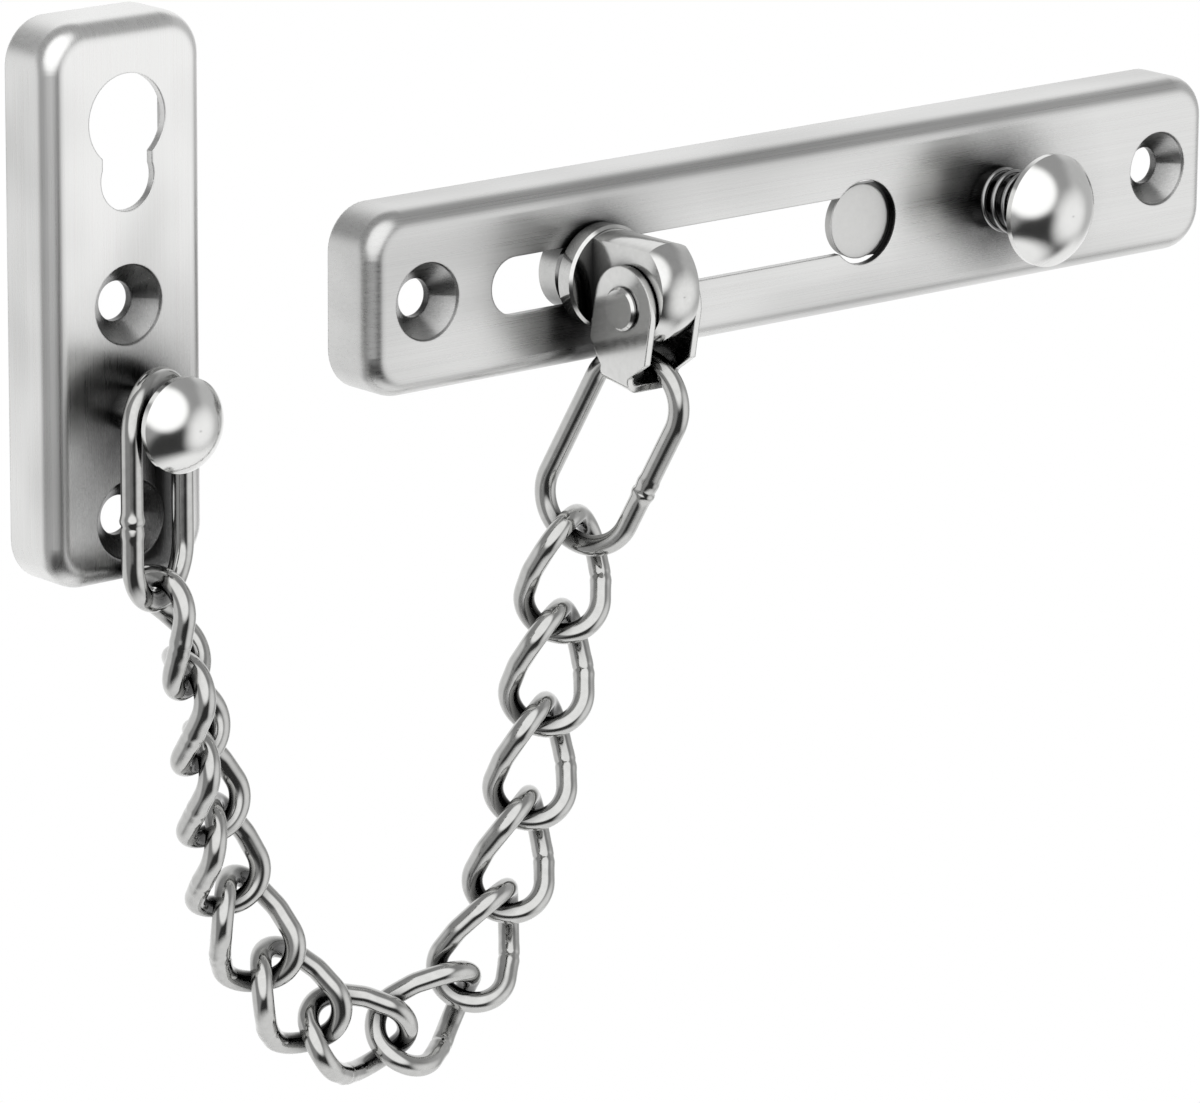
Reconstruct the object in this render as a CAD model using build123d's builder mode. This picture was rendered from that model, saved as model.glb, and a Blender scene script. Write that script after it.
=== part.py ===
from build123d import *
import os
from math import atan2, cos, pi, radians, sin, sqrt, tan, tanh

# Door chain: a pressed track plate with a sprung release, a slider on a twisted chain, and an anchor plate.
# The plates' backs lie on the door and frame at y = 0 and their fronts face -Y.
# The origin is midway between the track plate's two screw holes. All sizes are in millimetres and degrees.
os.makedirs("parts", exist_ok=True)

# Pressed plates
plate_width = 27.0
track_length = 164.8
anchor_length = 78.9
tray_depth = 9.4
sheet = 1.2
corner_radius = 6.5
edge_radius = 3.0
anchor_x = -124.6
anchor_foot_z = -32.0

# Pressed dimples for countersunk screws
screw_hole_radius = 2.8
dimple_radius = 5.5
dimple_depth = 3.2
dimple_lip = 0.4
track_hole_spacing = 143.8
anchor_hole_rise = 9.0
anchor_hole_spacing = 30.2

# Slot of the track plate and the round hole where the slider goes in
slot_width = 8.5
slot_end_x = -55.9
entry_x = 11.3
entry_radius = 6.35

# Keyhole of the anchor plate
keyhole_margin = 14.0
keyhole_radius = 6.45
keyhole_lobe_radius = 4.5
keyhole_drop = 8.1
keyhole_waist = 8.4

# Anchor stud
stud_rise = 24.6
stud_neck_radius = 3.15
stud_seat = 0.4
stud_neck_length = 9.9
stud_head_radius = 6.7
stud_head_flare = 1.5
stud_dome = 3.6

# Rivet ends behind the plates
rivet_shank_radius = 2.5
rivet_lip = 1.5
rivet_height = 1.0
rivet_fit = 0.05

# Slider
slider_x = -40.8
slot_clearance = 0.4
slot_contact = 0.1
entry_clearance = 0.3
plate_play = 0.3
collar_radius = 7.6
collar_thickness = 3.1
rear_head_thickness = 4.4
tongue_thickness = 6.9
tongue_radius = 7.1
tongue_length = 12.2
tongue_dome = 3.8
turned_edge = 0.4

# Strap and its pin
pin_reach = 11.5
pin_drop = 2.45
pin_radius = 2.4
pin_fit = 0.05
pin_head_radius = 3.15
pin_head_height = 0.7
strap_sheet = 1.1
strap_side_play = 0.25
strap_lean = 10.0
ear_radius = 6.1
bridge_width = 6.0
bridge_depth = 11.0
bridge_bend = 1.0
shoulder_depth = 6.6

# Release knob, spring, strip and button
knob_x = 38.5
stem_radius = 2.4
stem_clearance = 0.3
knob_reach = 7.6
knob_seat_radius = 5.4
knob_head_radius = 8.5
knob_flare = 3.2
knob_dome = 4.6
head_rim = 0.9
spring_radius = 4.5
spring_wire = 0.9
spring_turns = 3.0
spring_seat = 0.05
strip_thickness = 1.2
strip_width = 11.0
strip_gap = 0.1
strip_end_margin = 5.0
button_radius = 5.6
button_height = 0.3

# Chain
link_count = 13
wire = 3.1
link_play = 0.5
link_length = 20.6
crown_span = 13.2
waist_span = 11.6
waist_bend = 6.0
link_twist = 90.0
end_link_length = 34.2
end_link_width = 17.5
track_link_turn = 68.0
track_link_tilt = 26.0
track_link_lean = 8.0
track_end_roll = 15.0
anchor_link_turn = 24.0
anchor_end_roll = 60.0
rolled_links = 4
turn_distance = 89.655
turn_spread = 22.24
wall_distance = 5.3
falling_links = 2
rising_links = 3
bend_step = 1.1
bridge_seat = 0.2
anchor_link_standoff = 6.1

# Values that follow from the sizes above
slot_contact_drop = slot_clearance - slot_contact
slider_z = -slot_contact_drop
pin_z = slider_z - pin_drop
tongue_base = plate_play + collar_thickness
tongue_tip = tongue_base + tongue_length
rear_head_front = -(sheet + plate_play)
neck_radius = slot_width / 2 - slot_clearance
rear_head_radius = entry_radius - entry_clearance
strip_front = -(sheet + strip_gap)
strip_back = strip_front - strip_thickness
anchor_z = anchor_foot_z + anchor_length / 2
stud_z = anchor_foot_z + stud_rise


def outward(distance):
    """The y of a point that stands this far in front of the plates' faces."""
    return -(tray_depth + distance)


def turning_plane(x, z):
    """Sketch plane of a turned piece: across is the radius, up is outward from the plate's face."""
    return Plane(origin=(x, outward(0), z), x_dir=(1, 0, 0), z_dir=(0, 0, -1))


def turning_axis(x, z):
    """Axis of a turned piece, square to the plates."""
    return Axis((x, 0, z), (0, -1, 0))


def dome_arc(radius, start, height):
    """A dome's profile, from its rim to the turning axis."""
    dome_radius = (radius**2 + height**2) / (2 * height)
    half_angle = atan2(radius, dome_radius - height) / 2
    middle = (dome_radius * sin(half_angle), start + height - dome_radius * (1 - cos(half_angle)))
    ThreePointArc((radius, start), middle, (0, start + height))


def press_tray(x, z, width, height):
    """A tray with rounded corners and a rounded front edge, open at the back."""
    with BuildSketch(Plane.XZ) as outline:
        with Locations((x, z)):
            RectangleRounded(width, height, corner_radius)
    tray = extrude(outline.sketch, amount=tray_depth)
    front = tray.faces().sort_by(Axis.Y)[0]
    rounded = fillet(front.edges(), radius=edge_radius)
    offset(amount=-sheet, openings=rounded.faces().sort_by(Axis.Y)[-1])


def press_dimples(places):
    """Countersunk dimples pressed into a plate's face, each with a screw hole at its foot."""
    foot = dimple_depth + sheet
    for x, z in places:
        plane = Plane(origin=(x, outward(0), z), x_dir=(1, 0, 0), z_dir=(0, 0, 1))
        axis = Axis((x, 0, z), (0, 1, 0))
        with BuildSketch(plane) as cup:
            with BuildLine():
                Polyline(
                    (0, sheet / 2),
                    (dimple_radius + sheet, sheet / 2),
                    (screw_hole_radius + sheet, foot),
                    (0, foot),
                    close=True,
                )
            make_face()
        revolve(cup.sketch, axis=axis)
        with BuildSketch(plane) as hollow:
            with BuildLine():
                Polyline(
                    (0, -dimple_lip),
                    (dimple_radius + dimple_lip, -dimple_lip),
                    (dimple_radius, dimple_lip),
                    (screw_hole_radius, dimple_depth),
                    (screw_hole_radius, foot + sheet),
                    (0, foot + sheet),
                    close=True,
                )
            make_face()
        revolve(hollow.sketch, axis=axis, mode=Mode.SUBTRACT)


# Track plate
track_holes = [(-track_hole_spacing / 2, 0), (track_hole_spacing / 2, 0)]
with BuildPart() as track_plate:
    press_tray(0, 0, track_length, plate_width)
    press_dimples(track_holes)
    with BuildSketch(Plane.XZ.offset(tray_depth)):
        with Locations(((slot_end_x + entry_x) / 2, 0)):
            Rectangle(entry_x - slot_end_x, slot_width)
        with Locations((slot_end_x, 0)):
            Circle(slot_width / 2)
        with Locations((entry_x, 0)):
            Circle(entry_radius)
        with Locations((knob_x, 0)):
            Circle(stem_radius + stem_clearance)
    extrude(amount=-2 * sheet, mode=Mode.SUBTRACT)
track_plate.part.label = "track_plate"
export_step(track_plate.part, "parts/track_plate.step")

# Anchor plate
lower_hole_z = anchor_foot_z + anchor_hole_rise
anchor_holes = [(anchor_x, lower_hole_z), (anchor_x, lower_hole_z + anchor_hole_spacing)]
keyhole_z = anchor_foot_z + anchor_length - keyhole_margin
with BuildPart() as anchor_plate:
    press_tray(anchor_x, anchor_z, plate_width, anchor_length)
    press_dimples(anchor_holes)
    with BuildSketch(Plane.XZ.offset(tray_depth)):
        with Locations((anchor_x, keyhole_z)):
            Circle(keyhole_radius)
        with Locations((anchor_x, keyhole_z - keyhole_drop / 2)):
            Rectangle(keyhole_waist, keyhole_drop)
        with Locations((anchor_x, keyhole_z - keyhole_drop)):
            Circle(keyhole_lobe_radius)
        with Locations((anchor_x, stud_z)):
            Circle(rivet_shank_radius + rivet_fit)
    extrude(amount=-2 * sheet, mode=Mode.SUBTRACT)
anchor_plate.part.label = "anchor_plate"
export_step(anchor_plate.part, "parts/anchor_plate.step")

# Anchor stud, riveted through the anchor plate
stud_rim = stud_neck_length + stud_head_flare
with BuildPart() as anchor_stud:
    with BuildSketch(turning_plane(anchor_x, stud_z)):
        with BuildLine():
            Polyline(
                (0, stud_rim + head_rim + stud_dome),
                (0, -sheet - rivet_height),
                (rivet_shank_radius + rivet_lip, -sheet - rivet_height),
                (rivet_shank_radius + rivet_lip, -sheet),
                (rivet_shank_radius, -sheet),
                (rivet_shank_radius, 0),
                (stud_neck_radius, 0),
                (stud_neck_radius, stud_neck_length),
                (stud_head_radius, stud_rim),
                (stud_head_radius, stud_rim + head_rim),
            )
            dome_arc(stud_head_radius, stud_rim + head_rim, stud_dome)
        make_face()
    revolve(axis=turning_axis(anchor_x, stud_z))
anchor_stud.part.label = "anchor_stud"
export_step(anchor_stud.part, "parts/anchor_stud.step")

# Slider: one turned stud with two flats milled on its tongue
with BuildPart() as slider:
    with BuildSketch(turning_plane(slider_x, slider_z)):
        with BuildLine():
            Polyline(
                (0, tongue_tip + tongue_dome),
                (0, rear_head_front - rear_head_thickness),
                (rear_head_radius - turned_edge, rear_head_front - rear_head_thickness),
                (rear_head_radius, rear_head_front - rear_head_thickness + turned_edge),
                (rear_head_radius, rear_head_front - turned_edge),
                (rear_head_radius - turned_edge, rear_head_front),
                (neck_radius, rear_head_front),
                (neck_radius, plate_play),
                (collar_radius - turned_edge, plate_play),
                (collar_radius, plate_play + turned_edge),
                (collar_radius, tongue_base - turned_edge),
                (collar_radius - turned_edge, tongue_base),
                (tongue_radius, tongue_base),
                (tongue_radius, tongue_tip),
            )
            dome_arc(tongue_radius, tongue_tip, tongue_dome)
        make_face()
    revolve(axis=turning_axis(slider_x, slider_z))
    with BuildSketch(Plane.XZ.offset(tray_depth + tongue_base)):
        with Locations((slider_x, slider_z)):
            Rectangle(2 * collar_radius, 2 * collar_radius)
            Rectangle(tongue_thickness, 2 * collar_radius, mode=Mode.SUBTRACT)
    extrude(amount=tongue_length + tongue_dome, mode=Mode.SUBTRACT)
    with BuildSketch(Plane.YZ.offset(slider_x)):
        with Locations((outward(pin_reach), pin_z)):
            Circle(pin_radius + pin_fit)
    extrude(amount=tongue_thickness, both=True, mode=Mode.SUBTRACT)
slider.part.label = "slider"
export_step(slider.part, "parts/slider.step")

# Strap: a folded strip with two round ears and a narrower bridge
ear_inside = tongue_thickness / 2 + strap_side_play
ear_outside = ear_inside + strap_sheet
pin_centre = Vector(slider_x, outward(pin_reach), pin_z)
strap_up = Vector(0, -sin(radians(strap_lean)), cos(radians(strap_lean)))
strap_out = Vector(0, -cos(radians(strap_lean)), -sin(radians(strap_lean)))
fold_plane = Plane(origin=pin_centre, x_dir=(1, 0, 0), z_dir=strap_out)
side_plane = Plane(origin=pin_centre, x_dir=-strap_out, z_dir=(1, 0, 0))
fold_height = bridge_depth + 3 * ear_radius
with BuildPart() as strap:
    with BuildSketch(fold_plane):
        with Locations((0, -bridge_depth - strap_sheet)):
            RectangleRounded(
                2 * ear_outside, fold_height, bridge_bend + strap_sheet, align=(Align.CENTER, Align.MIN)
            )
        with Locations((0, -bridge_depth)):
            RectangleRounded(
                2 * ear_inside, fold_height, bridge_bend, align=(Align.CENTER, Align.MIN), mode=Mode.SUBTRACT
            )
    extrude(amount=ear_radius, both=True)
    with BuildSketch(side_plane):
        Circle(ear_radius)
        with BuildLine():
            Polyline(
                (-ear_radius, 0),
                (-ear_radius, -shoulder_depth),
                (-bridge_width / 2, -shoulder_depth - ear_radius + bridge_width / 2),
                (-bridge_width / 2, -bridge_depth - strap_sheet),
                (bridge_width / 2, -bridge_depth - strap_sheet),
                (bridge_width / 2, -shoulder_depth - ear_radius + bridge_width / 2),
                (ear_radius, -shoulder_depth),
                (ear_radius, 0),
                close=True,
            )
        make_face()
    extrude(amount=ear_outside, both=True, mode=Mode.INTERSECT)
    with BuildSketch(side_plane):
        Circle(pin_radius + pin_fit)
    extrude(amount=ear_outside, both=True, mode=Mode.SUBTRACT)
strap.part.label = "strap"
export_step(strap.part, "parts/strap.step")

# Strap pin: a plain rivet with a flat head at each end
pin_end = ear_outside + strap_side_play / 2
with BuildPart() as strap_pin:
    with BuildSketch(side_plane):
        Circle(pin_radius)
    extrude(amount=pin_end, both=True)
    for side in (-1, 1):
        with BuildSketch(side_plane.offset(side * pin_end)):
            Circle(pin_head_radius)
        extrude(amount=side * pin_head_height)
        outer_face = strap_pin.faces().sort_by(Axis.X)[-1 if side > 0 else 0]
        chamfer(outer_face.edges(), length=pin_head_height / 2)
strap_pin.part.label = "strap_pin"
export_step(strap_pin.part, "parts/strap_pin.step")

# Release knob with its stem, riveted over behind the strip
knob_rim = knob_reach + knob_flare
with BuildPart() as release_knob:
    with BuildSketch(turning_plane(knob_x, 0)):
        with BuildLine():
            Polyline(
                (0, knob_rim + head_rim + knob_dome),
                (0, strip_back - rivet_height),
                (stem_radius + rivet_lip, strip_back - rivet_height),
                (stem_radius + rivet_lip, strip_back),
                (stem_radius, strip_back),
                (stem_radius, knob_reach),
                (knob_seat_radius, knob_reach),
                (knob_head_radius, knob_rim),
                (knob_head_radius, knob_rim + head_rim),
            )
            dome_arc(knob_head_radius, knob_rim + head_rim, knob_dome)
        make_face()
    revolve(axis=turning_axis(knob_x, 0))
release_knob.part.label = "release_knob"
export_step(release_knob.part, "parts/release_knob.step")

# Release spring between the plate's face and the knob
spring_height = knob_reach - spring_wire - 2 * spring_seat
spring_foot = (knob_x, outward(spring_wire / 2 + spring_seat), 0)
spring_pitch = spring_height / spring_turns
with BuildPart() as release_spring:
    with BuildLine() as coil:
        Helix(spring_pitch, spring_height, spring_radius, center=spring_foot, direction=(0, -1, 0))
    with BuildSketch(Plane(origin=coil.line @ 0, z_dir=coil.line % 0)):
        Circle(spring_wire / 2)
    sweep(path=coil.line, is_frenet=True)
release_spring.part.label = "release_spring"
export_step(release_spring.part, "parts/release_spring.step")

# Release strip behind the track plate
strip_left = entry_x
strip_right = knob_x + strip_end_margin
with BuildPart() as release_strip:
    with BuildSketch(Plane.XZ.offset(tray_depth + strip_back)):
        with Locations(((strip_left + strip_right) / 2, 0)):
            Rectangle(strip_right - strip_left, strip_width)
        with Locations((strip_left, 0)):
            Circle(strip_width / 2)
        with Locations((knob_x, 0)):
            Circle(stem_radius + rivet_fit, mode=Mode.SUBTRACT)
        with Locations((entry_x, 0)):
            Circle(rivet_shank_radius + rivet_fit, mode=Mode.SUBTRACT)
    extrude(amount=strip_thickness)
release_strip.part.label = "release_strip"
export_step(release_strip.part, "parts/release_strip.step")

# Entry button: fills the entry hole until the knob is pressed
with BuildPart() as entry_button:
    with BuildSketch(turning_plane(entry_x, 0)):
        with BuildLine():
            Polyline(
                (0, strip_front + button_height),
                (0, strip_back - rivet_height),
                (rivet_shank_radius + rivet_lip, strip_back - rivet_height),
                (rivet_shank_radius + rivet_lip, strip_back),
                (rivet_shank_radius, strip_back),
                (rivet_shank_radius, strip_front),
                (button_radius, strip_front),
                (button_radius, strip_front + button_height),
                close=True,
            )
        make_face()
    revolve(axis=turning_axis(entry_x, 0))
entry_button.part.label = "entry_button"
export_step(entry_button.part, "parts/entry_button.step")


def lay(start, finish, reach, falls):
    """Angles of links that lie in two straight strands with a round turn between, from one point to another."""
    flat_reaches = [sqrt(reach**2 - fall**2) for fall in falls]

    def angles(first, last):
        result = []
        for i in range(len(falls)):
            share = (1 + tanh(((i + 1) * reach - turn_distance) / turn_spread)) / 2
            result.append(-pi / 2 - first - (last - first) * share)
        return result

    def miss(first, last):
        turned = angles(first, last)
        x = start.X + sum(length * cos(a) for length, a in zip(flat_reaches, turned))
        z = start.Z + sum(length * sin(a) for length, a in zip(flat_reaches, turned))
        return finish.X - x, finish.Z - z

    first, last = radians(13), radians(156)
    step = 1e-5
    for _ in range(40):
        x, z = miss(first, last)
        x_first, z_first = miss(first + step, last)
        x_last, z_last = miss(first, last + step)
        a, b = (x_first - x) / step, (x_last - x) / step
        c, d = (z_first - z) / step, (z_last - z) / step
        determinant = a * d - b * c
        first += (b * z - d * x) / determinant
        last += (c * x - a * z) / determinant
    return angles(first, last)


def link_corner(along, span, turn):
    """A corner of a link's wire path: along the link, and half a span across it at a turn about its length."""
    return (along, span / 2 * cos(radians(turn)), span / 2 * sin(radians(turn)))


def crown_radius(middle, corner, next_corner):
    """The bend that nearly fills the run from a crown's middle to its corner."""
    crown = Vector(*corner) - Vector(*middle)
    leg = Vector(*next_corner) - Vector(*corner)
    turn = radians(crown.get_angle(leg))
    return crown_fill * crown.length / tan(turn / 2)


# Hinge points of the chain, in the gaps where wires cross, from the strap's bridge to the anchor stud
crown_fill = 0.98
wire_step = (wire + link_play) / 2
link_reach = link_length - wire - 2 * wire_step
end_reach = end_link_length - wire - 2 * wire_step
bridge_top = pin_centre - strap_up * bridge_depth
end_bend = crown_fill * (end_link_width - wire) / 2
seat_chord = bridge_width / 2 / sin(radians(track_link_turn))
seat_depth = sqrt((end_bend - wire / 2 - bridge_seat) ** 2 - seat_chord**2)
tilt_down = Vector(0, 0, -1).rotate(Axis.Y, track_link_lean).rotate(Axis.X, track_link_tilt)
chain_start = bridge_top - strap_up * seat_depth - tilt_down * (end_bend - wire_step)
first_hinge = chain_start + tilt_down * end_reach
chain_finish = Vector(anchor_x, outward(anchor_link_standoff), stud_z + stud_neck_radius + stud_seat)
last_hinge = chain_finish - Vector(0, 0, end_reach)

# Each bent pair of twisted links lies a little aside, and the chain leans back out to the anchor stud
chain_turn = pi
for _ in range(12):
    fall = (-wall_distance - bend_step * chain_turn - first_hinge.Y) / falling_links
    rise = (last_hinge.Y + wall_distance) / rising_links
    level_links = link_count - falling_links - rising_links - 1
    falls = [fall] * falling_links + [0] * level_links + [rise] * rising_links + [0]
    directions = lay(first_hinge, last_hinge, link_reach, falls)
    chain_turn = abs(directions[-1] - directions[0])
ends = [(chain_start, first_hinge)]
foot = first_hinge
for i, direction in enumerate(directions):
    flat_reach = sqrt(link_reach**2 - falls[i] ** 2)
    head = foot + Vector(flat_reach * cos(direction), falls[i], flat_reach * sin(direction))
    ends.append((foot, head))
    if i < link_count - 1:
        foot = head + Vector(0, bend_step * abs(directions[i + 1] - direction), 0)
ends.append((last_hinge, chain_finish))


def link_plane(index):
    """Plane of a link: its x runs along the chain and its z stands out from the plates."""
    start, finish = ends[index]
    along = (finish - start).normalized()
    out = Vector(0, -1, 0)
    return Plane(origin=(start + finish) * 0.5, x_dir=along, z_dir=out - along * out.dot(along))


# Long plain link on the strap
end_half = end_link_length / 2 - wire / 2
end_span = end_link_width - wire
with BuildPart() as long_link_track:
    with BuildLine(link_plane(0)) as path:
        FilletPolyline(
            link_corner(-end_half, end_span, track_link_turn),
            link_corner(end_half, end_span, track_link_turn),
            link_corner(end_half, -end_span, track_link_turn),
            link_corner(-end_half, -end_span, track_link_turn),
            radius=crown_fill * end_span / 2,
            close=True,
        )
    with BuildSketch(Plane(origin=path.line @ 0, z_dir=path.line % 0)):
        Circle(wire / 2)
    sweep(path=path.line)
long_link_track.part.label = "long_link_track"
export_step(long_link_track.part, "parts/long_link_track.step")

# Twisted links
link_half = link_length / 2 - wire / 2
for i in range(1, link_count + 1):
    roll = anchor_end_roll * max(0, i - (link_count - rolled_links)) / rolled_links
    roll += track_end_roll * max(0, rolled_links - i) / rolled_links
    first_turn = roll - link_twist / 2
    last_turn = roll + link_twist / 2
    corners = [
        link_corner(-link_half, 0, first_turn),
        link_corner(-link_half, crown_span, first_turn),
        link_corner(0, waist_span, roll),
        link_corner(link_half, crown_span, last_turn),
        link_corner(link_half, 0, last_turn),
    ]
    bend = crown_radius(corners[0], corners[1], corners[2])
    with BuildPart() as link:
        with BuildLine(link_plane(i)) as path:
            FilletPolyline(*corners, radius=[bend, waist_bend, bend])
        with BuildSketch(Plane(origin=path.line @ 0, z_dir=path.line % 0)):
            Circle(wire / 2)
        half = sweep(path=path.line)
        add(half.rotate(Axis(link_plane(i).origin, link_plane(i).x_dir), 180))
    link.part.label = f"link_{i:02d}"
    export_step(link.part, f"parts/link_{i:02d}.step")

# Long plain link on the anchor stud
with BuildPart() as long_link_anchor:
    with BuildLine(link_plane(link_count + 1)) as path:
        FilletPolyline(
            link_corner(-end_half, end_span, anchor_link_turn),
            link_corner(end_half, end_span, anchor_link_turn),
            link_corner(end_half, -end_span, anchor_link_turn),
            link_corner(-end_half, -end_span, anchor_link_turn),
            radius=crown_fill * end_span / 2,
            close=True,
        )
    with BuildSketch(Plane(origin=path.line @ 0, z_dir=path.line % 0)):
        Circle(wire / 2)
    sweep(path=path.line)
long_link_anchor.part.label = "long_link_anchor"
export_step(long_link_anchor.part, "parts/long_link_anchor.step")
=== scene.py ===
from math import cos, pi, radians, sin

import bpy
import numpy as np
from mathutils import Matrix, Vector


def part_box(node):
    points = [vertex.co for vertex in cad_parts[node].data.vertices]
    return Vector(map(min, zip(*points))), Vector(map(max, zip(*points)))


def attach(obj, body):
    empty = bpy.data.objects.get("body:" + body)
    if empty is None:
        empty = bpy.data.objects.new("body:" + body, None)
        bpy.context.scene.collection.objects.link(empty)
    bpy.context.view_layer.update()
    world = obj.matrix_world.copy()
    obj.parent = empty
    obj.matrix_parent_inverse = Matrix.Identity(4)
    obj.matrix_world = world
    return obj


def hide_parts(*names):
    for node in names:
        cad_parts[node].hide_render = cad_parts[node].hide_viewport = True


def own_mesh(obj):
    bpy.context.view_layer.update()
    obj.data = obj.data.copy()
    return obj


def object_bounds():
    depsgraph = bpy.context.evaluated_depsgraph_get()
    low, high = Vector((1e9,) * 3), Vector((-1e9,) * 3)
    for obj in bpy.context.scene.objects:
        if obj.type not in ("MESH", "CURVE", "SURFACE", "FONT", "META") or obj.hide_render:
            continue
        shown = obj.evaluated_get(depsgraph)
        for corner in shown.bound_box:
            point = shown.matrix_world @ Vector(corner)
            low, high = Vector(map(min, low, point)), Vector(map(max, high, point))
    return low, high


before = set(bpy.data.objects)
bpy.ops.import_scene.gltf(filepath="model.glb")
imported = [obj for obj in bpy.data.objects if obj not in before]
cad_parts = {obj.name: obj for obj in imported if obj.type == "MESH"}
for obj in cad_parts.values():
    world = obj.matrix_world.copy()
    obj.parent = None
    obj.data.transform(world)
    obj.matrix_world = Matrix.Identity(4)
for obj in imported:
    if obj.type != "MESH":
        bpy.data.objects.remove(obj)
cad_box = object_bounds()

MM = 0.001

# Chain wire and link form, as in the solid model
WIRE = 3.1 * MM
LINK_COUNT = 13
LINK_LENGTH = 20.6 * MM
CROWN_SPAN = 13.2 * MM
WAIST_SPAN = 11.6 * MM
WAIST_BEND = 6.0 * MM
LINK_TWIST = 90.0
CROWN_FILL = 0.98
TRACK_END_ROLL = 15.0
ANCHOR_END_ROLL = 60.0
ROLLED_LINKS = 4
END_LINK_LENGTH = 34.2 * MM
END_LINK_WIDTH = 17.5 * MM

# Welds where each link was closed, with bulges and grooves as shares of the wire's radius
LINK_BULGE, LINK_GROOVE = 0.03, 0.07
END_BULGE, END_GROOVE = 0.11, 0.12
WELD_LENGTH = 1.6 * MM
LUMP_LENGTH = 2.3 * MM
LUMP_SHARE = 0.45
GROOVE_WIDTH = 0.28 * MM

# A twisted link's weld as a share of its path, an end link's as a share of its length off mid-leg
LINK_WELD_AT = 0.25
TRACK_WELD_OFFSET = 0.06
ANCHOR_WELD_OFFSET = -0.1

# Release spring
SPRING_RADIUS = 4.5 * MM
SPRING_WIRE = 0.9 * MM
SPRING_TURNS = 3.0

# Mesh fineness
RING_SIDES = 28
ARC_STEP = 0.35 * MM
LEAST_ARC_STEPS = 6
SPRING_STEPS_PER_TURN = 48
SAME_POINT = 1e-7

# Brushed plates
BRUSH_WARMTH = 0.99
BRUSH_DRIFT = (0.3, 0.62)
BRUSH_ROUGHNESS = (0.18, 0.40)
BRUSH_BUMP = 0.16
BRUSH_DEPTH = 0.02 * MM

# Polished pieces
MARK_SCALE = 900.0
WAVE_SCALE = 260.0
WAVE_DEPTH = 0.12 * MM

# Edges that only light shows as rounded
EDGE_SOFTNESS = 0.35 * MM
EDGE_SAMPLES = 6

# How far off a neighbour still paints shade into a plate or a small piece
PLATE_PAINTED_SHADE_REACH = 18 * MM
SMALL_PAINTED_SHADE_REACH = 6 * MM
SLIDER_PAINTED_SHADE_REACH = 14 * MM
PAINTED_SHADE_SAMPLES = 8

# The painted shade's tone at a covered place, and the open shares at which a place counts as covered
# and as open
PLATE_PAINTED_SHADE = (0.06, 0.55, 0.97)
SMALL_PAINTED_SHADE = (0.10, 0.35, 0.92)

# Camera
CAMERA_TURN = radians(40.68)
CAMERA_LIFT = radians(14.82)
CAMERA_ROLL = 0.007
CAMERA_ASIDE = 24.244 * MM
CAMERA_BELOW = 48.64 * MM
CAMERA_DISTANCE = 1144.965 * MM
CAMERA_CLIP = 0.01
FOCAL_PIXELS = 7759.34
PHOTO_WIDTH = 1200
SENSOR_WIDTH = 36.0

# Studio
WHITE = (1, 1, 1, 1)
FLOOR_COLOUR = (0.9, 0.9, 0.9, 1)
FLOOR_ROUGHNESS = 0.9
FLOOR_DROP = 120 * MM
FLOOR_RADIUS = 0.24
FLOOR_SOLID_SHARE = 0.4
FLOOR_SIDES = 96
FLOOR_LIFT = 0.05

# The world's level for diffuse light, for metal where no card stands, and behind everything
BASE_LEVEL = 0.62
ROOM_LEVEL = 0.36
BACKDROP_LEVEL = 1.0


def nodes_of(material):
    """A material's node tree and its shader."""
    material.use_nodes = True
    tree = material.node_tree
    return tree, tree.nodes["Principled BSDF"]


def add_node(tree, kind, **settings):
    """A new node with its settings."""
    node = tree.nodes.new(kind)
    for name, value in settings.items():
        setattr(node, name, value)
    return node


def ramp_between(tree, source, low, high):
    """Maps a value of 0 to 1 onto a range."""
    node = add_node(tree, "ShaderNodeMapRange")
    node.inputs["To Min"].default_value = low
    node.inputs["To Max"].default_value = high
    tree.links.new(source, node.inputs["Value"])
    return node.outputs["Result"]


def smooth_step(tree, source, start, end):
    """A share of 0 to 1 that rises smoothly from one value to another."""
    node = add_node(tree, "ShaderNodeMapRange", interpolation_type="SMOOTHSTEP")
    node.inputs["From Min"].default_value = start
    node.inputs["From Max"].default_value = end
    tree.links.new(source, node.inputs["Value"])
    return node.outputs["Result"]


def grey_between(tree, source, dark, light):
    """Mixes two colours, each written out or from a socket, by a value of 0 to 1."""
    node = add_node(tree, "ShaderNodeMix", data_type="RGBA")
    ends = [socket for socket in node.inputs if socket.type == "RGBA"]
    for socket, colour in zip(ends, (dark, light)):
        if isinstance(colour, tuple):
            socket.default_value = (*colour, 1)
        else:
            tree.links.new(colour, socket)
    tree.links.new(source, node.inputs["Factor"])
    return next(socket for socket in node.outputs if socket.type == "RGBA")


def level_mix(tree, share, before, level):
    """Mixes a grey level over what came before, each a number or a socket, by a share."""
    node = add_node(tree, "ShaderNodeMix", data_type="FLOAT")
    tree.links.new(share, node.inputs["Factor"])
    for name, value in (("A", before), ("B", level)):
        if isinstance(value, float):
            node.inputs[name].default_value = value
        else:
            tree.links.new(value, node.inputs[name])
    return node.outputs["Result"]


def stretched_noise(tree, scale, stretch, detail, roughness=0.6):
    """Noise on the object's own coordinates, stretched by a scale along each axis."""
    place = add_node(tree, "ShaderNodeTexCoord")
    mapping = add_node(tree, "ShaderNodeMapping")
    mapping.inputs["Scale"].default_value = stretch
    noise = add_node(tree, "ShaderNodeTexNoise")
    noise.inputs["Scale"].default_value = scale
    noise.inputs["Detail"].default_value = detail
    noise.inputs["Roughness"].default_value = roughness
    tree.links.new(place.outputs["Object"], mapping.inputs["Vector"])
    tree.links.new(mapping.outputs["Vector"], noise.inputs["Vector"])
    return noise.outputs["Fac"]


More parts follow.
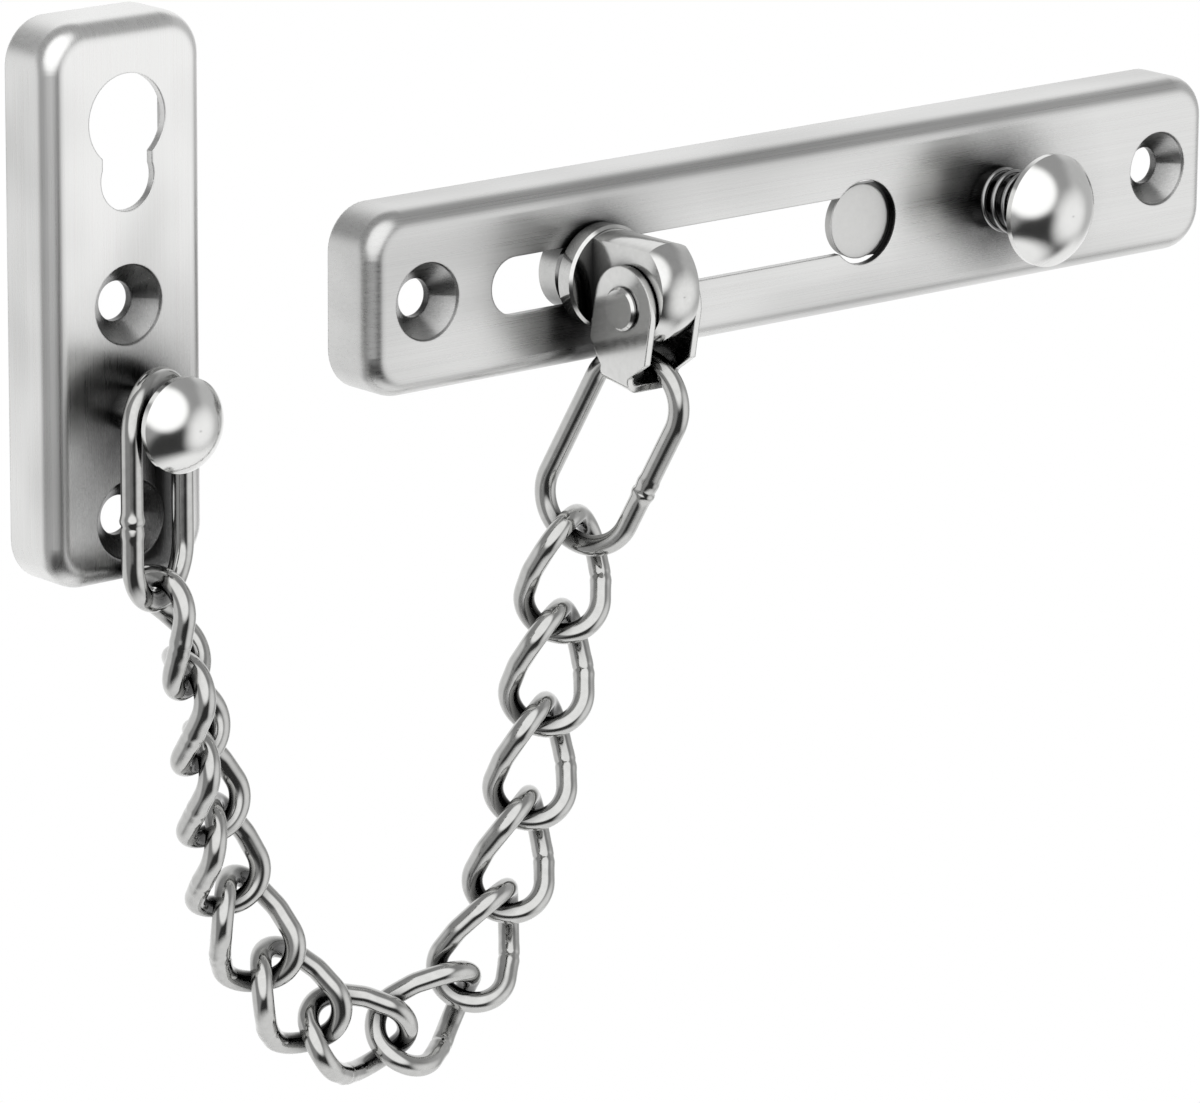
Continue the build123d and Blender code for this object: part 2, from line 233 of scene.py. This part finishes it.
def bump_from(tree, shader, height, strength, distance, edge):
    """Bump on the shader's normal, over edges softened by a small radius where it isn't 0."""
    node = add_node(tree, "ShaderNodeBump")
    if edge:
        soft = add_node(tree, "ShaderNodeBevel", samples=EDGE_SAMPLES)
        soft.inputs["Radius"].default_value = edge
        tree.links.new(soft.outputs["Normal"], node.inputs["Normal"])
    node.inputs["Strength"].default_value = strength
    node.inputs["Distance"].default_value = distance
    tree.links.new(height, node.inputs["Height"])
    tree.links.new(node.outputs["Normal"], shader.inputs["Normal"])


def painted_shade_near_others(tree, colour, reach, shade):
    """Darkens a colour where other surfaces stand close: painted shade, standing in for their dark
    reflections in the metal.
    """
    darkest, covered, open_air = shade
    near = add_node(tree, "ShaderNodeAmbientOcclusion", samples=PAINTED_SHADE_SAMPLES)
    near.inputs["Distance"].default_value = reach
    share = smooth_step(tree, near.outputs["AO"], covered, open_air)
    return grey_between(tree, share, (darkest, darkest, darkest), colour)


def brushed_steel(name, fine, slow, tones):
    """Satin steel with fine brush lines along one axis, a slow drift between two pairs of tones, and
    painted shade where other parts stand close.
    """
    material = bpy.data.materials.new(name)
    tree, shader = nodes_of(material)
    shader.inputs["Metallic"].default_value = 1.0
    lines = stretched_noise(tree, 1.0, fine, detail=4.0, roughness=0.75)
    drift = stretched_noise(tree, 1.0, slow, detail=2.0, roughness=0.5)
    dull, bright = (
        grey_between(
            tree, lines, (dark, dark, dark * BRUSH_WARMTH), (light, light, light * BRUSH_WARMTH)
        )
        for dark, light in tones
    )
    colour = grey_between(tree, smooth_step(tree, drift, *BRUSH_DRIFT), dull, bright)
    # Painted shade: the colour darkens where other parts stand close.
    with_painted_shade = painted_shade_near_others(tree, colour, PLATE_PAINTED_SHADE_REACH, PLATE_PAINTED_SHADE)
    tree.links.new(with_painted_shade, shader.inputs["Base Color"])
    tree.links.new(ramp_between(tree, lines, *BRUSH_ROUGHNESS), shader.inputs["Roughness"])
    bump_from(tree, shader, lines, BRUSH_BUMP, BRUSH_DEPTH, EDGE_SOFTNESS)
    return material


def polished_steel(name, dark, light, rough, waviness, edge=0.0, reach=SMALL_PAINTED_SHADE_REACH):
    """Polished or satin steel with faint polishing marks, a slight waviness, and painted shade where
    other parts stand close.
    """
    material = bpy.data.materials.new(name)
    tree, shader = nodes_of(material)
    shader.inputs["Metallic"].default_value = 1.0
    marks = stretched_noise(tree, MARK_SCALE, (1, 1, 1), detail=3.0)
    waves = stretched_noise(tree, WAVE_SCALE, (1, 1, 1), detail=1.0)
    # Painted shade: the colour darkens where other parts stand close.
    with_painted_shade = painted_shade_near_others(tree, grey_between(tree, marks, dark, light), reach, SMALL_PAINTED_SHADE)
    tree.links.new(with_painted_shade, shader.inputs["Base Color"])
    tree.links.new(ramp_between(tree, marks, *rough), shader.inputs["Roughness"])
    bump_from(tree, shader, waves, waviness, WAVE_DEPTH, edge)
    return material


def dress(node, material):
    """Gives a node of the solid model its finish."""
    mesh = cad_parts[node].data
    mesh.materials.clear()
    mesh.materials.append(material)


def fillet_path(corners, bends):
    """Points along straight runs joined by arcs, one bend radius for each inner corner."""
    points = [corners[0]]
    for i in range(1, len(corners) - 1):
        before, corner, after = corners[i - 1], corners[i], corners[i + 1]
        back, on = (before - corner).normalized(), (after - corner).normalized()
        half = back.angle(on) / 2
        bend = bends[i - 1]
        reach = bend / np.tan(half)
        middle = corner + (back + on).normalized() * (bend / np.sin(half))
        start, finish = corner + back * reach, corner + on * reach
        spoke = start - middle
        axis = spoke.cross(finish - middle).normalized()
        turn = pi - 2 * half
        steps = max(LEAST_ARC_STEPS, int(bend * turn / ARC_STEP))
        for k in range(steps + 1):
            points.append(middle + Matrix.Rotation(turn * k / steps, 3, axis) @ spoke)
    points.append(corners[-1])
    return points


def even_points(points):
    """A closed path's points at even steps, its length, and each point's place along it."""
    path = np.array([tuple(p) for p in points])
    path = np.vstack([path, path[:1]])
    steps = np.linalg.norm(np.diff(path, axis=0), axis=1)
    path = path[np.concatenate([[True], steps > SAME_POINT])]
    steps = np.linalg.norm(np.diff(path, axis=0), axis=1)
    along = np.concatenate([[0], np.cumsum(steps)])
    length = along[-1]
    places = np.linspace(0, length, int(length / ARC_STEP), endpoint=False)
    even = [Vector([np.interp(s, along, path[:, k]) for k in range(3)]) for s in places]
    return even, length, places


def tube_mesh(name, path, radii, closed):
    """A tube of quads along a path, with a radius at each point, its rings carried without twist."""
    count = len(path)
    tangents = []
    for i in range(count):
        before = path[i - 1] if closed or i else path[0]
        after = path[(i + 1) % count] if closed or i < count - 1 else path[-1]
        tangents.append((after - before).normalized())
    across = tangents[0].orthogonal().normalized()
    frames = [across]
    for i in range(1, count):
        turn = tangents[i - 1].rotation_difference(tangents[i])
        across = turn @ across
        across = (across - tangents[i] * across.dot(tangents[i])).normalized()
        frames.append(across)
    slip = 0.0
    if closed:
        back = tangents[-1].rotation_difference(tangents[0]) @ frames[-1]
        slip = back.angle(frames[0])
        if back.cross(frames[0]).dot(tangents[0]) < 0:
            slip = -slip
    verts, faces = [], []
    for i in range(count):
        ease = Matrix.Rotation(slip * i / count, 3, tangents[i])
        side = ease @ frames[i]
        other = tangents[i].cross(side)
        for k in range(RING_SIDES):
            angle = 2 * pi * k / RING_SIDES
            verts.append(path[i] + (side * cos(angle) + other * sin(angle)) * radii[i])
    for i in range(count if closed else count - 1):
        ring, next_ring = i * RING_SIDES, (i + 1) % count * RING_SIDES
        for k in range(RING_SIDES):
            next_k = (k + 1) % RING_SIDES
            faces.append((ring + k, ring + next_k, next_ring + next_k, next_ring + k))
    if not closed:
        faces.append(tuple(reversed(range(RING_SIDES))))
        faces.append(tuple(range((count - 1) * RING_SIDES, count * RING_SIDES)))
    mesh = bpy.data.meshes.new(name)
    mesh.from_pydata([tuple(v) for v in verts], [], faces)
    mesh.shade_smooth()
    mesh.update()
    return mesh


def new_piece(name, mesh, material, body, node):
    """A piece that stands for a node of the solid model and moves with its body."""
    piece = bpy.data.objects.new(name, mesh)
    mesh.materials.append(material)
    bpy.context.scene.collection.objects.link(piece)
    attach(piece, body)
    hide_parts(node)
    return piece


def weld_radii(places, length, weld_at, swell, cut):
    """The wire's radius along a closed path, with a weld's lumpy bulge and the groove in its middle."""
    radii = []
    for s in places:
        offset = (s - weld_at + length / 2) % length - length / 2
        lumps = 1 + LUMP_SHARE * np.sin(2 * pi * offset / LUMP_LENGTH)
        bulge = swell * lumps * np.exp(-((offset / WELD_LENGTH) ** 4))
        groove = cut * np.exp(-((offset / GROOVE_WIDTH) ** 2))
        radii.append(WIRE / 2 * (1 + bulge - groove))
    return radii


def node_frame(node):
    """A node's middle and its long, wide and thin directions, from its surface."""
    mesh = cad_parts[node].data
    mesh.calc_loop_triangles()
    co = np.array([v.co for v in mesh.vertices])
    tris = co[np.array([t.vertices for t in mesh.loop_triangles])]
    areas = np.linalg.norm(np.cross(tris[:, 1] - tris[:, 0], tris[:, 2] - tris[:, 0]), axis=1)
    centres = tris.mean(axis=1)
    middle = (centres * areas[:, None]).sum(axis=0) / areas.sum()
    spread = (centres - middle).T @ ((centres - middle) * areas[:, None])
    _, axes = np.linalg.eigh(spread)
    return Vector(middle), [Vector(axes[:, k]) for k in (2, 1, 0)]


def link_name(index):
    """The node of a twisted link, counted from the track plate."""
    return f"link_{index:02d}"


def corner_at(along, span, turn):
    """A corner of a link's path: a place along it, and half a span out at a turn about its length."""
    return Vector((along, span / 2 * cos(radians(turn)), span / 2 * sin(radians(turn))))


def twisted_link(index, towards, material):
    """One twisted link, built smooth on the solid link's own path."""
    node = link_name(index)
    middle, (along, _, _) = node_frame(node)
    if along.dot(towards) < 0:
        along = -along
    out = Vector((0, -1, 0))
    out = (out - along * out.dot(along)).normalized()
    place = Matrix((along, out.cross(along), out)).transposed()
    roll = ANCHOR_END_ROLL * max(0, index - (LINK_COUNT - ROLLED_LINKS)) / ROLLED_LINKS
    roll += TRACK_END_ROLL * max(0, ROLLED_LINKS - index) / ROLLED_LINKS
    half = LINK_LENGTH / 2 - WIRE / 2
    first, last = roll - LINK_TWIST / 2, roll + LINK_TWIST / 2
    corners = [
        corner_at(-half, 0, first),
        corner_at(-half, CROWN_SPAN, first),
        corner_at(0, WAIST_SPAN, roll),
        corner_at(half, CROWN_SPAN, last),
        corner_at(half, 0, last),
    ]
    crown, leg = corners[1] - corners[0], corners[2] - corners[1]
    bend = CROWN_FILL * crown.length / np.tan(crown.angle(leg) / 2)
    one_side = fillet_path(corners, [bend, WAIST_BEND, bend])
    other_side = [Vector((p.x, -p.y, -p.z)) for p in reversed(one_side)]
    points = [middle + place @ p for p in one_side + other_side[1:-1]]
    path, length, places = even_points(points)
    radii = weld_radii(places, length, length * LINK_WELD_AT, LINK_BULGE, LINK_GROOVE)
    mesh = tube_mesh(node + "_wire", path, radii, True)
    new_piece(node + "_wire", mesh, material, node, node)


def long_link(node, weld_on_first_leg, weld_offset, material):
    """One long plain link, its weld on one leg and off mid-leg by a share of the link's length."""
    middle, (along, wide, _) = node_frame(node)
    if along.z > 0:
        along = -along
    if wide.x < 0:
        wide = -wide
    half = END_LINK_LENGTH / 2 - WIRE / 2
    span = (END_LINK_WIDTH - WIRE) / 2
    bend = CROWN_FILL * span
    flat = [(-half, 0), (-half, span), (half, span), (half, -span), (-half, -span), (-half, 0)]
    corners = [middle + along * a + wide * b for a, b in flat]
    path, length, places = even_points(fillet_path(corners, [bend] * 4)[:-1])
    leg = length / 4 if weld_on_first_leg else 3 * length / 4
    weld_at = leg + weld_offset * END_LINK_LENGTH
    radii = weld_radii(places, length, weld_at, END_BULGE, END_GROOVE)
    mesh = tube_mesh(node + "_wire", path, radii, True)
    new_piece(node + "_wire", mesh, material, node, node)


def release_spring(material):
    """The coil spring under the knob."""
    low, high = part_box("release_spring")
    middle_x, middle_z = (low.x + high.x) / 2, (low.z + high.z) / 2
    foot, top = high.y - SPRING_WIRE / 2, low.y + SPRING_WIRE / 2
    steps = int(SPRING_TURNS * SPRING_STEPS_PER_TURN)
    points = []
    for i in range(steps + 1):
        angle = 2 * pi * SPRING_TURNS * i / steps
        x = middle_x + SPRING_RADIUS * cos(angle)
        y = foot + (top - foot) * i / steps
        z = middle_z + SPRING_RADIUS * sin(angle)
        points.append(Vector((x, y, z)))
    name = "release_spring_wire"
    mesh = tube_mesh(name, points, [SPRING_WIRE / 2] * len(points), False)
    piece = new_piece(name, mesh, material, "plates", "release_spring")
    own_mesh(piece)


def camera_axes():
    """The camera's right, up and back directions at the photograph's angle."""
    right = Vector((cos(CAMERA_TURN), -sin(CAMERA_TURN), 0))
    level = cos(CAMERA_LIFT)
    back = Vector((-sin(CAMERA_TURN) * level, -cos(CAMERA_TURN) * level, sin(CAMERA_LIFT)))
    up = back.cross(right)
    tilted_right = right * cos(CAMERA_ROLL) + up * sin(CAMERA_ROLL)
    tilted_up = up * cos(CAMERA_ROLL) - right * sin(CAMERA_ROLL)
    return tilted_right, tilted_up, back


def place_camera():
    """The camera at the photograph's place, with its field of view."""
    right, up, back = camera_axes()
    camera = bpy.data.objects.new("camera", bpy.data.cameras.new("camera"))
    camera.data.sensor_fit = "HORIZONTAL"
    camera.data.sensor_width = SENSOR_WIDTH
    camera.data.lens = FOCAL_PIXELS * SENSOR_WIDTH / PHOTO_WIDTH
    camera.data.clip_start = CAMERA_CLIP
    turn = Matrix((right, up, back)).transposed().to_4x4()
    spot = back * CAMERA_DISTANCE - right * CAMERA_ASIDE - up * CAMERA_BELOW
    camera.matrix_world = Matrix.Translation(spot) @ turn
    bpy.context.scene.collection.objects.link(camera)
    bpy.context.scene.camera = camera


def area_light(name, towards, distance, size, power):
    """A square soft light that faces the object from a direction."""
    data = bpy.data.lights.new(name, "AREA")
    data.size = size
    data.energy = power
    light = bpy.data.objects.new(name, data)
    spot = Vector(towards).normalized() * distance
    light.location = spot
    light.rotation_euler = (-spot).to_track_quat("-Z", "Y").to_euler()
    light.visible_glossy = False
    bpy.context.scene.collection.objects.link(light)


def card(tree, direction, centre, reach, edge):
    """A share of 0 to 1: high where a direction lies within a reach of a centre, with a soft edge."""
    dot = add_node(tree, "ShaderNodeVectorMath", operation="DOT_PRODUCT")
    tree.links.new(direction, dot.inputs[0])
    dot.inputs[1].default_value = Vector(centre).normalized()
    outer, inner = cos(radians(reach + edge)), cos(radians(max(0, reach - edge)))
    return smooth_step(tree, dot.outputs["Value"], outer, inner)


def studio_world():
    """White for the camera, and for metal a white backdrop with the cards that give it its bands."""
    world = bpy.data.worlds.new("studio")
    bpy.context.scene.world = world
    world.use_nodes = True
    tree = world.node_tree
    background = tree.nodes["Background"]
    background.inputs["Color"].default_value = WHITE
    place = add_node(tree, "ShaderNodeTexCoord")
    direction = place.outputs["Generated"]
    right, up, back = camera_axes()

    def aside(degrees, lift):
        flat = back * cos(radians(degrees)) + right * sin(radians(degrees))
        return flat * cos(radians(lift)) + up * sin(radians(lift))

    # Each card's centre, its reach and soft edge in degrees, and its level
    plates_see = Vector((-back.x, back.y, -back.z))
    left_walls_see = Vector((back.x, -back.y, -back.z))
    backdrop = (-back, 62, 14, BACKDROP_LEVEL)
    left_card = (left_walls_see, 30, 10, 0.9)
    right_grey = (aside(120, 10), 34, 10, 0.55)
    dark_below = (aside(42, -62), 46, 9, 0.04)
    plate_card = (plates_see, 26, 18, 1.05)
    softbox = (aside(4, 20), 44, 8, 1.35)

    shown = ROOM_LEVEL
    for centre, reach, edge, level in (
        backdrop, left_card, right_grey, dark_below, plate_card, softbox
    ):
        shown = level_mix(tree, card(tree, direction, centre, reach, edge), shown, level)
    path = add_node(tree, "ShaderNodeLightPath")
    seen = level_mix(tree, path.outputs["Is Glossy Ray"], BASE_LEVEL, shown)
    for ray in ("Is Transmission Ray", "Is Camera Ray"):
        seen = level_mix(tree, path.outputs[ray], seen, BACKDROP_LEVEL)
    tree.links.new(seen, background.inputs["Strength"])


def pale_floor():
    """A pale floor with a soft edge that goes over into the white backdrop."""
    bottom = cad_box[0][2] - FLOOR_DROP
    middle = (cad_box[0] + cad_box[1]) / 2
    turns = [2 * pi * k / FLOOR_SIDES for k in range(FLOOR_SIDES)]
    rim = [(FLOOR_RADIUS * cos(t), FLOOR_RADIUS * sin(t), 0) for t in turns]
    mesh = bpy.data.meshes.new("floor")
    mesh.from_pydata(rim, [], [tuple(range(FLOOR_SIDES))])
    floor = bpy.data.objects.new("floor", mesh)
    floor.location = (middle.x, middle.y, bottom)
    bpy.context.scene.collection.objects.link(floor)
    material = bpy.data.materials.new("pale_floor")
    tree, shader = nodes_of(material)
    shader.inputs["Base Color"].default_value = FLOOR_COLOUR
    shader.inputs["Roughness"].default_value = FLOOR_ROUGHNESS
    shader.inputs["Emission Color"].default_value = WHITE
    path = add_node(tree, "ShaderNodeLightPath")
    lift = 0.0
    for ray in ("Is Camera Ray", "Is Glossy Ray", "Is Transmission Ray"):
        lift = level_mix(tree, path.outputs[ray], lift, FLOOR_LIFT)
    tree.links.new(lift, shader.inputs["Emission Strength"])
    place = add_node(tree, "ShaderNodeTexCoord")
    length = add_node(tree, "ShaderNodeVectorMath", operation="LENGTH")
    tree.links.new(place.outputs["Object"], length.inputs[0])
    solid_radius = FLOOR_RADIUS * FLOOR_SOLID_SHARE
    fade = smooth_step(tree, length.outputs["Value"], FLOOR_RADIUS, solid_radius)
    tree.links.new(fade, shader.inputs["Alpha"])
    mesh.materials.append(material)


# Finishes
track_finish = brushed_steel(
    "brushed_along_track",
    fine=(16, 900, 3000),
    slow=(16, 40, 55),
    tones=((0.48, 0.68), (0.62, 0.83)),
)
anchor_finish = brushed_steel(
    "brushed_up_anchor",
    fine=(3000, 900, 16),
    slow=(45, 40, 22),
    tones=((0.50, 0.70), (0.76, 0.94)),
)
chain_finish = polished_steel(
    "polished_chain", (0.46, 0.46, 0.45), (0.62, 0.62, 0.61), rough=(0.06, 0.15), waviness=0.12
)
turned_finish = polished_steel(
    "turned_bright",
    (0.62, 0.62, 0.61),
    (0.76, 0.76, 0.75),
    rough=(0.08, 0.16),
    waviness=0.03,
    # A longer reach of painted shade, darkening the slider and pin where the plate sheet stands close
    reach=SLIDER_PAINTED_SHADE_REACH,
)
domed_finish = polished_steel(
    "domed_satin", (0.74, 0.74, 0.73), (0.80, 0.80, 0.79), rough=(0.12, 0.18), waviness=0.02
)
strap_finish = polished_steel(
    "pressed_bright",
    (0.66, 0.66, 0.65),
    (0.80, 0.80, 0.79),
    rough=(0.10, 0.20),
    waviness=0.04,
    edge=EDGE_SOFTNESS,
)
matt_finish = polished_steel(
    "matt_disc",
    (0.70, 0.70, 0.69),
    (0.84, 0.84, 0.83),
    rough=(0.40, 0.58),
    waviness=0.14,
    edge=EDGE_SOFTNESS,
)
spring_finish = polished_steel(
    "spring_wire", (0.32, 0.32, 0.32), (0.48, 0.48, 0.48), rough=(0.10, 0.22), waviness=0.05
)
plain_finish = polished_steel(
    "plain_strip", (0.45, 0.45, 0.44), (0.58, 0.58, 0.57), rough=(0.30, 0.45), waviness=0.06
)

for node, finish in (
    ("track_plate", track_finish),
    ("anchor_plate", anchor_finish),
    ("slider", turned_finish),
    ("strap_pin", turned_finish),
    ("anchor_stud", domed_finish),
    ("release_knob", domed_finish),
    ("strap", strap_finish),
    ("entry_button", matt_finish),
    ("release_strip", plain_finish),
):
    dress(node, finish)

# Chain and spring
chain = ["long_link_track", *map(link_name, range(1, LINK_COUNT + 1)), "long_link_anchor"]
middles = [node_frame(node)[0] for node in chain]
for index in range(1, LINK_COUNT + 1):
    twisted_link(index, middles[index + 1] - middles[index - 1], chain_finish)
long_link("long_link_track", True, TRACK_WELD_OFFSET, chain_finish)
long_link("long_link_anchor", False, ANCHOR_WELD_OFFSET, chain_finish)
release_spring(spring_finish)

# Studio
place_camera()
studio_world()
pale_floor()
area_light("key", towards=(-0.35, -0.55, 0.9), distance=0.9, size=0.5, power=5.0)
area_light("fill", towards=(0.9, -0.8, 0.25), distance=1.1, size=0.7, power=4.0)
bpy.context.scene.view_settings.view_transform = "Standard"
